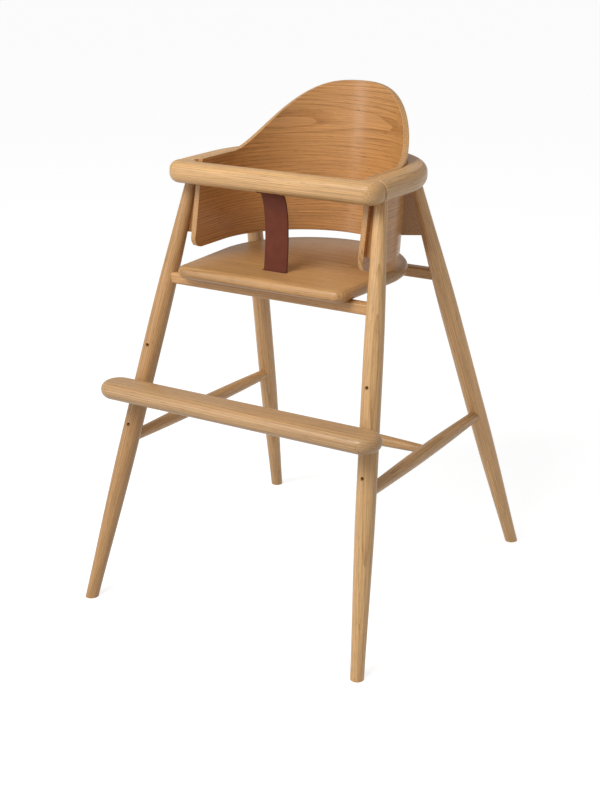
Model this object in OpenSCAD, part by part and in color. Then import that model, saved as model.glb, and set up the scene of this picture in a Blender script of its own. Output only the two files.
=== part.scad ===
/* [Stance] */
// Height of the arm rail's underside, where the legs end
rail_z = 708; // [660:1:860]
// Distance from the centre plane to the axis of a front foot
front_foot_x = 266; // [250:1:320]
// Distance from the centre plane to the axis of a rear foot
rear_foot_x = 264; // [250:1:320]
// Distance from the middle of the chair to the axis of any foot, front to back
foot_y = 298; // [270:1:360]
// Distance from the centre plane to the top of a front leg
front_top_x = 179; // [176:1:184]
// Distance in front of the middle to the top of a front leg
front_top_y = 88.5; // [85:0.5:90]
// Distance from the centre plane to the top of a rear leg
rear_top_x = 163; // [158:1:168]
// Distance behind the middle to the top of a rear leg
rear_top_y = 58; // [52:1:64]

/* [Legs] */
// Diameter of a leg at the floor
leg_foot_d = 22; // [18:0.5:28]
// Diameter of a leg at its thickest
leg_belly_d = 32; // [28:0.5:38]
// Diameter of a leg where it enters the rail
leg_top_d = 21; // [18:0.5:24]
// Height at which a leg has grown to its full thickness
belly_low_z = 280; // [240:5:320]
// Height at which a leg starts to thin towards the rail
belly_high_z = 460; // [450:5:500]
// Depth of the leg's tenon in the rail
leg_tenon = 16; // [10:1:20]

/* [Arm rail] */
// Width of the rail, across its section
rail_w = 36; // [32:1:42]
// Height of the rail, across its section
rail_h = 36; // [32:1:42]
// Rounding of the rail's four long edges
rail_r = 15; // [8:0.5:15.5]
// Rounding of the upper inner edge, where the shell meets the arms
rail_inner_r = 4; // [2:0.5:8]
// Distance from the centre plane to the middle of an arm
arm_x = 181; // [178:0.5:186]
// Place of the bend's centre, behind the middle
bend_y = -19; // [-24:1:-14]
// Place of the front bar's middle, in front of the arms
bar_y = -125; // [-130:1:-121]
// Rounding of the front bar's outer corners, seen from above
bar_corner_r = 26; // [19:1:30]
// Diameter of the dowel in each joint between bar and arm
dowel_d = 8; // [6:1:10]
// Length of the dowel in each joint
dowel_l = 36; // [24:2:44]
// Height of the dowel above the rail's middle
dowel_up = 6.5; // [5:0.5:7]

/* [Back shell] */
// Thickness of the bent plywood
ply_t = 9.5; // [8:0.5:12]
// Depth that the shell is let into the rail's inner side
shell_rebate = 1.5; // [1:0.5:4]
// Rearward lean of the shell, as run over rise
shell_lean = 0.13; // [0:0.01:0.15]
// Height of the shell's lower edge
shell_low_z = 597.5; // [585:0.5:640]
// Height of the shell's wings above the rail's top
wing_up = 0; // [-2:0.5:4]
// Height of the crest above the wings
crest_h = 111; // [60:1:150]
// Angle from the crest to where the crest has run out into the wing
crest_end = 85; // [70:1:88]
// Power that sets how full the crest's shoulders are
crest_power = 1.35; // [1:0.05:1.6]
// Place of the wings' front edge at the height of the rail's underside
wing_front_y = -100; // [-104:1:-96]
// Forward lean of the wings' front edge, in degrees
wing_lean = 11; // [0:1:16]
// Rounding of the wings' lower front corner
wing_corner_r = 17; // [8:1:24]

/* [Wedge blocks] */
// Height of the wedge blocks' lower ends
wedge_low_z = 622; // [610:1:650]
// Width of a wedge block
wedge_w = 17; // [12:1:19]
// Setback of a front wedge block from the shell's front edge
wedge_back = 9; // [4:1:14]

/* [Seat] */
// Height of the seat's top face
seat_z = 579; // [560:1:590]
// Thickness of the seat
seat_t = 21; // [18:0.5:26]
// Distance in front of the middle to the seat's front edge
seat_front_y = 173.5; // [165:0.5:185]
// Half the width of the seat at its front edge
seat_front_x = 160; // [150:1:162]
// Radius of the seat's round back
seat_back_r = 168; // [160:1:172]
// Place of the centre of the seat's round back
seat_back_y = -13; // [-20:1:0]
// Rounding of the seat's front corners, seen from above
seat_corner_r = 18; // [14:1:20]
// Side of the square rails under the seat
seat_rail = 19; // [16:0.5:22]
// Diameter of the seat rails' round tenons
seat_tenon_d = 13; // [10:0.5:15]
// Diameter of a seat screw's shank
screw_d = 4; // [3:0.5:5]
// Diameter of a seat screw's head
screw_head_d = 8; // [6:0.5:10]
// Length of a seat screw
screw_l = 31; // [27:1:34]
// Distance from the centre plane to the seat screws
screw_x = 80; // [50:1:90]

/* [Stretchers] */
// Height of the side stretchers' axis
stretcher_z = 276; // [220:1:320]
// Diameter of a side stretcher at its ends
side_end_d = 18; // [17:0.5:22]
// Diameter of a side stretcher at its middle
side_mid_d = 24; // [20:0.5:28]
// Diameter of the tenons into the legs
side_tenon_d = 15; // [12:0.5:16]
// Diameter of the cross stretcher at its ends
cross_end_d = 14; // [12:0.5:16]
// Diameter of the cross stretcher at its middle
cross_mid_d = 24; // [18:0.5:28]
// Diameter of the tenons into the side stretchers
cross_tenon_d = 11; // [8:0.5:11.5]
// Depth of the stretchers' and seat rails' tenons, from the axis that they point to
tenon_short = 4; // [2:0.5:6]

/* [Footrest] */
// Height of the footrest's middle
footrest_z = 370.5; // [340:0.5:400]
// Length of the footrest
footrest_l = 531; // [500:1:640]
// Depth of the footrest, front to back
footrest_d = 61; // [50:1:90]
// Thickness of the footrest
footrest_t = 28; // [22:0.5:34]
// Distance between the bolt holes along a leg, measured upright
hole_pitch = 67; // [55:0.5:75]
// Diameter of the bolt holes in the legs
hole_d = 6.2; // [6.1:0.05:6.4]
// Diameter of a footrest bolt
bolt_d = 6; // [5:0.5:6]
// Diameter of a bolt's head
bolt_head_d = 12; // [9:0.5:14]
// Height of a bolt's head
bolt_head_h = 6; // [4:0.5:8]
// Length of a bolt that is in the footrest
bolt_grip = 15; // [10:1:18]
// Depth of the flat that a bolt's head sits on, behind the leg
spot_depth = 5; // [4:0.5:8]
// Outer diameter of a threaded insert in the footrest
insert_d = 9; // [8:0.5:11]
// Length of a threaded insert
insert_l = 18; // [12:1:20]
// Gap between the footrest and the legs
footrest_gap = 0.3; // [0.2:0.1:1]

/* [Strap] */
// Width of the crotch strap
strap_w = 44; // [30:1:60]
// Thickness of the strap's leather
strap_t = 2.5; // [2:0.1:3]
// Place of the strap's slot in the seat
slot_y = -114; // [-118:1:-110]
// Length of the strap's tab under the seat
strap_tab = 30; // [24:1:40]
// Distance between the two screws at each end of the strap
strap_screw_gap = 24; // [14:1:28]

/* [Hidden] */
$fn = 96;

oak = "burlywood";
steel = "silver";
brass = "goldenrod";
left = -1;
right = 1;
glue_gap = 0.02;
far = 400;

rail_mid_z = rail_z + rail_h / 2;
joint_y = bar_y + rail_w / 2;
seat_mid_z = seat_z - seat_t / 2;
seat_rail_z = seat_z - seat_t - seat_rail / 2;

// Point on a leg's axis at height z; side is -1 for the left and 1 for the right
function front_axis(side, z) = [side * (front_foot_x + (front_top_x - front_foot_x) * z / rail_z),
    -foot_y + (foot_y - front_top_y) * z / rail_z, z];
function rear_axis(side, z) = [side * (rear_foot_x + (rear_top_x - rear_foot_x) * z / rail_z),
    foot_y - (foot_y - rear_top_y) * z / rail_z, z];

// Radius of a turned leg at height z
function leg_r(z) =
    z <= 0 ? leg_foot_d / 2
    : z < belly_low_z
    ? leg_foot_d / 2 + (leg_belly_d - leg_foot_d) / 2 * pow(sin(90 * z / belly_low_z), 1.5)
    : z <= belly_high_z ? leg_belly_d / 2
    : z < rail_z
    ? leg_top_d / 2 + (leg_belly_d - leg_top_d) / 2
        * pow(cos(90 * (z - belly_high_z) / (rail_z - belly_high_z)), 1.5)
    : leg_top_d / 2;

// Moves its children's Z axis onto the line from one point to another
module along(from, to) {
    v = to - from;
    translate(from) rotate([0, acos(v[2] / norm(v)), atan2(v[1], v[0])]) children();
}

module rod(from, to, d) {
    along(from, to) cylinder(d = d, h = norm(to - from));
}

// ---- legs ----

leg_steps = 8;
leg_heights = concat([-12], [for (i = [1:leg_steps]) belly_low_z * i / leg_steps],
    [for (i = [0:leg_steps]) belly_high_z + (rail_z - belly_high_z) * i / leg_steps],
    [rail_z + leg_tenon]);

module turned_leg(foot, top) {
    stretch = norm(top - foot) / rail_z;
    difference() {
        along(foot, top)
            rotate([0, 0, 90]) rotate_extrude()
                polygon(concat([[0, leg_heights[0] * stretch]],
                    [for (z = leg_heights) [leg_r(z), z * stretch]],
                    [[0, (rail_z + leg_tenon) * stretch]]));
        translate([-far, -far, -far]) cube([2 * far, 2 * far, far]);
    }
}

// The leg's outline, for cutting what is shaped to meet it
module leg_cutter(side, front) {
    if (front) turned_leg(front_axis(side, 0), front_axis(side, rail_z));
    else turned_leg(rear_axis(side, 0), rear_axis(side, rail_z));
}

module front_leg(side) {
    color(oak)
        difference() {
            leg_cutter(side, true);
            seat_tenon(side, true, glue_gap);
            side_tenon(side, true, glue_gap);
            for (i = [-1:1])
                translate(front_axis(side, footrest_z + i * hole_pitch)) {
                    rotate([90, 0, 0]) cylinder(d = hole_d, h = 80, center = true);
                    translate([0, bolt_seat_dy, 0])
                        rotate([-90, 0, 0]) cylinder(d = bolt_head_d + 1.5, h = 30);
                }
        }
}

module rear_leg(side) {
    color(oak)
        difference() {
            leg_cutter(side, false);
            seat_tenon(side, false, glue_gap);
            side_tenon(side, false, glue_gap);
        }
}

// ---- arm rail and front bar ----

module rail_section() {
    x = rail_w / 2 - rail_r;
    y = rail_h / 2 - rail_r;
    square([rail_w, 2 * y], center = true);
    square([2 * x, rail_h], center = true);
    for (i = [-1, 1], j = [-1, 1]) translate([i * x, j * y]) circle(rail_r);
}

module arm_section() {
    rail_section();
    translate([-rail_w / 2, 0]) square([rail_w / 2, rail_h / 2 - rail_inner_r]);
    translate([rail_inner_r - rail_w / 2, 0]) square([rail_w / 2 - rail_inner_r, rail_h / 2]);
    translate([rail_inner_r - rail_w / 2, rail_h / 2 - rail_inner_r]) circle(rail_inner_r);
}

module leg_sockets() {
    for (side = [left, right]) {
        rod(front_axis(side, rail_z - 40), front_axis(side, rail_z + leg_tenon), leg_top_d + 2 * glue_gap);
        rod(rear_axis(side, rail_z - 40), rear_axis(side, rail_z + leg_tenon), leg_top_d + 2 * glue_gap);
    }
}

module dowels(gap) {
    for (side = [left, right])
        translate([side * arm_x, joint_y, rail_mid_z + dowel_up])
            rotate([90, 0, 0]) cylinder(d = dowel_d + 2 * gap, h = dowel_l + 2 * gap, center = true);
}

module arm_rail() {
    color(oak)
        difference() {
            translate([0, 0, rail_mid_z]) {
                translate([0, bend_y, 0])
                    rotate_extrude(angle = 180) translate([arm_x, 0]) arm_section();
                for (side = [left, right])
                    translate([side * arm_x, bend_y, 0])
                        rotate([90, 0, 0]) linear_extrude(bend_y - joint_y)
                            mirror([side < 0 ? 1 : 0, 0]) arm_section();
            }
            shell_core(glue_gap);
            leg_sockets();
            dowels(glue_gap);
        }
}

bar_corner_x = arm_x + rail_w / 2 - bar_corner_r;

module front_bar() {
    puck_flat = bar_corner_r - rail_r;
    color(oak)
        difference() {
            translate([0, bar_y, rail_mid_z]) {
                rotate([90, 0, 90]) linear_extrude(2 * bar_corner_x, center = true) rail_section();
                for (side = [left, right])
                    translate([side * bar_corner_x, bar_corner_r - rail_w / 2, 0])
                        rotate_extrude() {
                            translate([0, -rail_h / 2]) square([puck_flat, rail_h]);
                            translate([0, rail_r - rail_h / 2]) square([bar_corner_r, rail_h - 2 * rail_r]);
                            for (j = [-1, 1])
                                translate([puck_flat, j * (rail_h / 2 - rail_r)])
                                    intersection() {
                                        circle(rail_r);
                                        translate([0, -rail_r]) square([rail_r, 2 * rail_r]);
                                    }
                        }
            }
            translate([-far, joint_y, rail_z - 1]) cube([2 * far, far, rail_h + 2]);
            strap_recess();
            strap_top_screws_at(glue_gap);
            dowels(glue_gap);
        }
}

module bar_dowels() {
    color(oak) dowels(0);
}

// ---- back shell ----

wing_x = arm_x - rail_w / 2 + shell_rebate;
wing_top_z = rail_z + rail_h + wing_up;
shell_steps = 72;

// Centre of the shell's bend at height z
function shell_y(z) = bend_y + shell_lean * (z - rail_mid_z);

// Height of the shell's top edge at an angle from the crest
function crest_z(a) = wing_top_z
    + (abs(a) < crest_end ? crest_h * (0.5 + 0.5 * cos(180 * pow(abs(a) / crest_end, crest_power))) : 0);

// Point on the shell at an angle from the crest, at a radius and a height
function shell_point(a, r, z) = [r * sin(a), shell_y(z) + r * cos(a) / cos(atan(shell_lean)), z];

// The leaning half cylinder and its two wings, solid, for cutting the rail and the blocks
module shell_core(gap) {
    r = wing_x + gap;
    translate([0, bend_y, rail_mid_z])
        rotate([-atan(shell_lean), 0, 0])
            linear_extrude(400, center = true) {
                circle(r);
                translate([-r, -150]) square([2 * r, 150]);
            }
}

// The bent sheet: two wings and a half cylinder with the crest's top edge
module shell_sheet() {
    n = shell_steps;
    angles = [for (i = [0:n]) -90 + 180 * i / n];
    inner = wing_x - ply_t;
    front = -150;
    // One row of four points at each place along the bend: outer low, inner low, inner high, outer high
    rows = concat(
        [[[-wing_x, front, shell_low_z], [-inner, front, shell_low_z],
            [-inner, front, wing_top_z], [-wing_x, front, wing_top_z]]],
        [for (a = angles) [shell_point(a, wing_x, shell_low_z), shell_point(a, inner, shell_low_z),
            shell_point(a, inner, crest_z(a)), shell_point(a, wing_x, crest_z(a))]],
        [[[wing_x, front, shell_low_z], [inner, front, shell_low_z],
            [inner, front, wing_top_z], [wing_x, front, wing_top_z]]]);
    last = len(rows) - 1;
    polyhedron([for (row = rows) for (p = row) p], concat(
        [[0, 3, 2, 1]],
        [[4 * last, 4 * last + 1, 4 * last + 2, 4 * last + 3]],
        [for (i = [0:last - 1], j = [0:3]) let (k = (j + 1) % 4)
            each [[4 * i + j, 4 * i + k, 4 * i + 4 + k], [4 * i + j, 4 * i + 4 + k, 4 * i + 4 + j]]]));
}

// Place of the wings' front edge at height z
function wing_y(z) = wing_front_y + (z - rail_z) * tan(wing_lean);

// Side view of the shell: leaning front edge and rounded lower corner
module shell_side() {
    cz = shell_low_z + wing_corner_r;
    cy = wing_y(cz) + wing_corner_r / cos(wing_lean);
    top = wing_top_z + crest_h + 10;
    translate([cy, cz]) circle(wing_corner_r);
    polygon([[cy, shell_low_z], [far, shell_low_z], [far, top], [wing_y(top), top],
        [cy - wing_corner_r * cos(wing_lean), cz + wing_corner_r * sin(wing_lean)]]);
}

module back_shell() {
    color("peru")
        intersection() {
            shell_sheet();
            rotate([90, 0, 90]) linear_extrude(far, center = true) shell_side();
        }
}

// ---- wedge blocks ----

// The upper end of a leg, and all that lies beyond its axis along a heading
module beyond_leg(low, high, heading) {
    along(low, high) cylinder(r1 = leg_r(low[2]), r2 = leg_r(high[2]), h = norm(high - low));
    along(low, high)
        rotate([0, 0, heading - atan2(high[1] - low[1], high[0] - low[0])])
            translate([3, -60, -20]) cube([80, 120, 160]);
}

module front_wedge(side) {
    outer = side * front_axis(side, wedge_low_z)[0];
    top = rail_z - 3;
    color(oak)
        difference() {
            translate([side * (outer + wing_x + glue_gap) / 2, 0, 0])
                rotate([90, 0, 90])
                    linear_extrude(outer - wing_x - glue_gap, center = true)
                        polygon([for (p = [[0, wedge_low_z], [wedge_w, wedge_low_z], [wedge_w, top], [0, top]])
                            [p[0] + wing_y(p[1]) + wedge_back, p[1]]]);
            beyond_leg(front_axis(side, wedge_low_z - 20), front_axis(side, rail_z), side > 0 ? 0 : 180);
        }
}

module rear_wedge(side) {
    mid_z = (wedge_low_z + rail_z) / 2;
    mid = rear_axis(side, mid_z);
    away = mid - [0, shell_y(mid_z), mid_z];
    heading = atan2(away[1], away[0]);
    step = rear_axis(side, rail_z) - rear_axis(side, wedge_low_z);
    across = step[1] * cos(heading) - step[0] * sin(heading);
    color(oak)
        difference() {
            intersection() {
                translate(mid)
                    rotate([-atan2(across, step[2]), 0, heading])
                        translate([-40, -wedge_w / 2, -80]) cube([80, wedge_w, 160]);
                translate([-far, 0, wedge_low_z]) cube([2 * far, far, rail_z - 3 - wedge_low_z]);
            }
            shell_core(glue_gap);
            beyond_leg(rear_axis(side, wedge_low_z - 20), rear_axis(side, rail_z), heading);
        }
}

// ---- seat ----

seat_r = seat_t / 2;
seat_corner = [seat_front_x - seat_corner_r, -seat_front_y + seat_corner_r];
// Angle by which the seat's sides turn in towards the front
seat_flare = asin((seat_back_r - seat_corner_r) / norm([seat_corner[0], seat_back_y - seat_corner[1]]))
    - atan2(seat_corner[0], seat_back_y - seat_corner[1]);

// Points on an arc, at a height
function arc(centre, r, from, to, n, z) =
    [for (i = [0:n]) let (a = from + (to - from) * i / n) [centre[0] + r * cos(a), centre[1] + r * sin(a), z]];

// Outline of the seat at an angle of its round edge: -90 is the underside and 90 the top
function seat_ring(tilt) = let (inset = seat_r * (1 - cos(tilt)), z = seat_mid_z + seat_r * sin(tilt)) concat(
    arc([0, seat_back_y], seat_back_r - inset, -seat_flare, 180 + seat_flare, 56, z),
    arc([-seat_corner[0], seat_corner[1]], seat_corner_r - inset, 180 + seat_flare, 270, 7, z),
    arc(seat_corner, seat_corner_r - inset, 270, 360 - seat_flare, 7, z));

module seat_board() {
    levels = 8;
    m = len(seat_ring(0));
    color(oak)
        difference() {
            polyhedron([for (k = [0:levels]) each seat_ring(-90 + 180 * k / levels)], concat(
                [[for (i = [0:m - 1]) i]],
                [[for (i = [m - 1:-1:0]) levels * m + i]],
                [for (k = [0:levels - 1], i = [0:m - 1]) let (a = k * m + i, b = k * m + (i + 1) % m)
                    each [[a, a + m, b], [b, a + m, b + m]]]));
            translate([0, slot_y, seat_mid_z]) cube([strap_w + 2, slot_w, seat_t + 2], center = true);
            seat_screws_at(glue_gap);
            strap_bottom_screws_at(glue_gap);
        }
}

// Round tenon of a seat rail, in a leg
module seat_tenon(side, front, gap) {
    p = front ? front_axis(side, seat_rail_z) : rear_axis(side, seat_rail_z);
    translate([p[0] - side * 30, p[1], p[2]])
        rotate([0, side * 90, 0]) cylinder(d = seat_tenon_d + 2 * gap, h = 30 + tenon_short + gap);
}

module seat_rail_bar(front) {
    p = front ? front_axis(right, seat_rail_z) : rear_axis(right, seat_rail_z);
    r = 4;
    color(oak)
        difference() {
            union() {
                difference() {
                    translate([0, p[1], seat_rail_z]) rotate([90, 0, 90])
                        linear_extrude(2 * p[0], center = true) {
                            square([seat_rail, seat_rail - 2 * r], center = true);
                            square([seat_rail - 2 * r, seat_rail], center = true);
                            for (i = [-1, 1], j = [-1, 1])
                                translate([i, j] * (seat_rail / 2 - r)) circle(r);
                        }
                    for (side = [left, right]) {
                        leg_cutter(side, front);
                        translate([side * (p[0] + 10), p[1], p[2]]) cube([22, 60, 60], center = true);
                    }
                }
                for (side = [left, right]) seat_tenon(side, front, 0);
            }
            seat_screws_at(glue_gap);
        }
}

module front_seat_rail() {
    seat_rail_bar(true);
}

module rear_seat_rail() {
    seat_rail_bar(false);
}

// Countersunk screws, pointing up, from under the seat rails
module seat_screws_at(gap) {
    for (side = [left, right], y = [front_axis(1, seat_rail_z)[1], rear_axis(1, seat_rail_z)[1]])
        translate([side * screw_x, y, seat_z - seat_t - seat_rail]) {
            translate([0, 0, -gap]) cylinder(d = screw_d + 2 * gap, h = screw_l + 2 * gap);
            translate([0, 0, -gap])
                cylinder(d1 = screw_head_d + 2 * gap, d2 = screw_d, h = (screw_head_d - screw_d) / 2 + gap);
        }
}

module seat_screws() {
    color(steel) seat_screws_at(0);
}

// ---- stretchers ----

// Turned spindle between two points, thickest at the middle
module spindle(from, to, end_d, mid_d) {
    l = norm(to - from);
    n = 16;
    along(from, to)
        rotate_extrude()
            polygon(concat([[0, 0]], [for (i = [0:n]) [(end_d + (mid_d - end_d) * sin(180 * i / n)) / 2, l * i / n]],
                [[0, l]]));
}

// Round tenon of a side stretcher, in a leg
module side_tenon(side, front, gap) {
    a = front ? front_axis(side, stretcher_z) : rear_axis(side, stretcher_z);
    b = front ? rear_axis(side, stretcher_z) : front_axis(side, stretcher_z);
    u = (b - a) / norm(b - a);
    rod(a + u * 30, a - u * (tenon_short + gap), side_tenon_d + 2 * gap);
}

module side_spindle(side) {
    spindle(front_axis(side, stretcher_z), rear_axis(side, stretcher_z), side_end_d, side_mid_d);
}

module side_stretcher(side) {
    color(oak)
        difference() {
            union() {
                difference() {
                    side_spindle(side);
                    leg_cutter(side, true);
                    leg_cutter(side, false);
                    // The ends beyond the legs' axes
                    translate([side * front_axis(1, stretcher_z)[0], front_axis(1, stretcher_z)[1], stretcher_z])
                        cube([60, 24, 60], center = true);
                    translate([side * rear_axis(1, stretcher_z)[0], rear_axis(1, stretcher_z)[1], stretcher_z])
                        cube([60, 24, 60], center = true);
                }
                side_tenon(side, true, 0);
                side_tenon(side, false, 0);
            }
            cross_tenon(side, glue_gap);
        }
}

// Point where the cross stretcher meets a side stretcher's axis, halfway along the chair
function cross_end(side) =
    let (a = front_axis(side, stretcher_z), b = rear_axis(side, stretcher_z), t = a[1] / (a[1] - b[1]))
    [a[0] + (b[0] - a[0]) * t, 0, stretcher_z];

module cross_tenon(side, gap) {
    rod(cross_end(side) - [side * 30, 0, 0], cross_end(side) + [side * gap, 0, 0], cross_tenon_d + 2 * gap);
}

module cross_stretcher() {
    color(oak) {
        difference() {
            spindle(cross_end(left), cross_end(right), cross_end_d, cross_mid_d);
            for (side = [left, right]) {
                side_spindle(side);
                translate(cross_end(side)) cube([8, 40, 40], center = true);
            }
        }
        for (side = [left, right]) cross_tenon(side, 0);
    }
}

// ---- footrest ----

lean = atan((foot_y - front_top_y) / rail_z);
footrest_r = footrest_t / 2;
// Place of the axis of the footrest's round back edge, which is tangent to the front legs
footrest_back_y = front_axis(right, footrest_z)[1] - (footrest_r + leg_belly_d / 2 + footrest_gap) / cos(lean);
footrest_core_d = footrest_d - footrest_t;
footrest_mid_y = footrest_back_y - footrest_core_d / 2;
footrest_end_x = (footrest_l - footrest_d) / 2;
// Distance behind the leg's axis to the flat under a bolt's head
bolt_seat_dy = leg_belly_d / 2 / cos(lean) - spot_depth;

module footrest_board() {
    color(oak)
        difference() {
            translate([0, footrest_mid_y, footrest_z]) {
                for (y = [-1, 1] * footrest_core_d / 2)
                    rod([-footrest_end_x, y, 0], [footrest_end_x, y, 0], footrest_t);
                cube([2 * footrest_end_x, footrest_core_d, footrest_t], center = true);
                for (side = [left, right])
                    translate([side * footrest_end_x, 0, 0])
                        rotate_extrude() {
                            translate([0, -footrest_r]) square([footrest_core_d / 2, footrest_t]);
                            intersection() {
                                translate([footrest_core_d / 2, 0]) circle(footrest_r);
                                translate([0, -footrest_r]) square([footrest_d / 2, footrest_t]);
                            }
                        }
            }
            inserts_at(glue_gap, insert_l);
        }
}

// Cylinders in the footrest's back edge, opening backwards
module inserts_at(gap, depth) {
    for (side = [left, right])
        translate([front_axis(side, footrest_z)[0], footrest_back_y + footrest_r - insert_set, footrest_z])
            rotate([90, 0, 0]) {
                cylinder(d = insert_d + 2 * gap, h = depth + gap);
                if (gap > 0) translate([0, 0, -10]) cylinder(d = insert_d + 2 * gap, h = 11);
            }
}

insert_set = 1.5;
bolt_clearance = 0.05;

module footrest_inserts() {
    color(brass)
        difference() {
            inserts_at(0, insert_l);
            for (side = [left, right])
                translate(front_axis(side, footrest_z))
                    rotate([90, 0, 0]) cylinder(d = bolt_d + 2 * bolt_clearance, h = 120);
        }
}

module footrest_bolt(side) {
    p = front_axis(side, footrest_z);
    tip_y = footrest_back_y + footrest_r - bolt_grip;
    seat_y = p[1] + bolt_seat_dy;
    color(steel)
        difference() {
            union() {
                translate([p[0], seat_y, p[2]]) rotate([90, 0, 0]) cylinder(d = bolt_d, h = seat_y - tip_y);
                translate([p[0], seat_y, p[2]]) rotate([-90, 0, 0]) cylinder(d = bolt_head_d, h = bolt_head_h);
            }
            translate([p[0], seat_y + bolt_head_h / 2, p[2]])
                rotate([-90, 0, 0]) cylinder(d = 4.6, h = bolt_head_h, $fn = 6);
        }
}

// ---- strap ----

slot_w = 11;
strap_top_y = -126;
strap_top_z = rail_z + 1.3;
strap_foot_z = seat_z - seat_t - strap_t / 2 - 0.1;
recess_d = 28;
strap_bend_y = slot_y - 2.5;

// Point of a cubic curve
function cubic(p, t) = p[0] * pow(1 - t, 3) + 3 * p[1] * t * pow(1 - t, 2) + 3 * p[2] * pow(t, 2) * (1 - t)
    + p[3] * pow(t, 3);

// The strap's middle line, from under the bar to under the seat, as [y, z]
strap_path = concat(
    [[strap_top_y - 7, strap_top_z]],
    [for (i = [0:12]) cubic([[strap_top_y, strap_top_z], [strap_top_y + 13, rail_z - 2],
        [slot_y + 13, seat_z + 81], [slot_y + 1, seat_z]], i / 12)],
    [for (i = [0:6]) [strap_bend_y + 4 - 4 * cos(15 * i), strap_foot_z + 4 - 4 * sin(15 * i)]],
    [[strap_bend_y + strap_tab, strap_foot_z]]);

// Direction across the path at one of its points
function path_normal(path, i) =
    let (a = path[max(i - 1, 0)], b = path[min(i + 1, len(path) - 1)], u = (b - a) / norm(b - a)) [-u[1], u[0]];

module crotch_strap() {
    n = len(strap_path) - 1;
    color("sienna")
        difference() {
            rotate([90, 0, 90])
                linear_extrude(strap_w, center = true)
                    polygon(concat(
                        [for (i = [0:n]) strap_path[i] + path_normal(strap_path, i) * strap_t / 2],
                        [for (i = [n:-1:0]) strap_path[i] - path_normal(strap_path, i) * strap_t / 2]));
            strap_top_screws_at(glue_gap);
            strap_bottom_screws_at(glue_gap);
        }
}

// Shallow recess in the bar's underside for the strap's upper end
module strap_recess() {
    translate([-strap_w / 2 - 1, strap_top_y - 13, rail_z - 1])
        cube([strap_w + 2, recess_d, strap_top_z + strap_t / 2 + 0.1 - rail_z + 1]);
}

// A countersunk screw pointing up, its head flush with the leather's lower face at the origin
module strap_screw(gap, l) {
    translate([0, 0, -gap]) cylinder(d1 = 7 + 2 * gap, d2 = 3.5 + 2 * gap, h = 1.75 + gap);
    translate([0, 0, -gap]) cylinder(d = 3.5 + 2 * gap, h = l + 2 * gap);
}

module strap_top_screws_at(gap) {
    for (side = [left, right])
        translate([side * strap_screw_gap / 2, strap_top_y - 3, strap_top_z - strap_t / 2])
            strap_screw(gap, 18);
}

module strap_bottom_screws_at(gap) {
    for (side = [left, right])
        translate([side * strap_screw_gap / 2, strap_bend_y + strap_tab - 8, strap_foot_z - strap_t / 2])
            strap_screw(gap, 16);
}

module strap_top_screws() {
    color(brass) strap_top_screws_at(0);
}

module strap_bottom_screws() {
    color(brass) strap_bottom_screws_at(0);
}

front_leg(left);  // front_left_leg
front_leg(right);  // front_right_leg
rear_leg(left);  // rear_left_leg
rear_leg(right);  // rear_right_leg
arm_rail();
front_bar();
bar_dowels();
back_shell();
front_wedge(left);  // front_left_wedge
front_wedge(right);  // front_right_wedge
rear_wedge(left);  // rear_left_wedge
rear_wedge(right);  // rear_right_wedge
seat_board();
front_seat_rail();
rear_seat_rail();
seat_screws();
side_stretcher(left);  // left_side_stretcher
side_stretcher(right);  // right_side_stretcher
cross_stretcher();
footrest_board();
footrest_inserts();
footrest_bolt(left);  // left_footrest_bolt
footrest_bolt(right);  // right_footrest_bolt
crotch_strap();
strap_top_screws();
strap_bottom_screws();
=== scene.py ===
import math

import bmesh
import bpy
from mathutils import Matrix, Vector


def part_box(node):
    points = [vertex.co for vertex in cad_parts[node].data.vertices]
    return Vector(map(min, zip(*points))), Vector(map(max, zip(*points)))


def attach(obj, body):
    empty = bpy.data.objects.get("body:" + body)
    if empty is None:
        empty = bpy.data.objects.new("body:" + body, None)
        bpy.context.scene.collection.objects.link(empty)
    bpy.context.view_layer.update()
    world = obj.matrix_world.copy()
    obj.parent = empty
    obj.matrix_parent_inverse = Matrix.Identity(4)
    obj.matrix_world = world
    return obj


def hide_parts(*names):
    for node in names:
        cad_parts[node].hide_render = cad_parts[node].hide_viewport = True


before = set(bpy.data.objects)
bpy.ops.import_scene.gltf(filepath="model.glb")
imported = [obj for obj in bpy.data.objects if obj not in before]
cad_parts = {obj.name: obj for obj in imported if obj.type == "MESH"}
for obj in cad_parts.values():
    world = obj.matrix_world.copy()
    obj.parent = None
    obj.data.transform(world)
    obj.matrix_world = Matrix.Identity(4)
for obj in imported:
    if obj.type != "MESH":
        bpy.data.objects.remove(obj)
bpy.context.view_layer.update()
scene = bpy.context.scene

# The studio: a wide pale floor that throws no light back, a white backdrop over an even dim sky,
# one large soft key high in front, near enough for the top of the chair to be the brightest,
# and one tall narrow light low on the left for the sheen on the back shell and the legs.
scene.view_settings.view_transform = "Standard"
camera_data = bpy.data.cameras.new("camera")
camera_data.lens = 63.82
camera_data.sensor_width = 36
camera = bpy.data.objects.new("camera", camera_data)
camera.location = (1.2124, -1.9961, 1.1520)
camera.rotation_euler = (math.radians(70.446), 0, math.radians(31.758))
scene.collection.objects.link(camera)
scene.camera = camera

sky = bpy.data.worlds.new("studio sky")
sky.use_nodes = True
backdrop = sky.node_tree.nodes["Background"]
backdrop.inputs["Color"].default_value = (1, 1, 1, 1)
seen = sky.node_tree.nodes.new("ShaderNodeLightPath")
brightness = sky.node_tree.nodes.new("ShaderNodeMapRange")
brightness.inputs["To Min"].default_value = 0.48
brightness.inputs["To Max"].default_value = 1.0
sky.node_tree.links.new(seen.outputs["Is Camera Ray"], brightness.inputs["Value"])
sky.node_tree.links.new(brightness.outputs["Result"], backdrop.inputs["Strength"])
scene.world = sky


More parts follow.
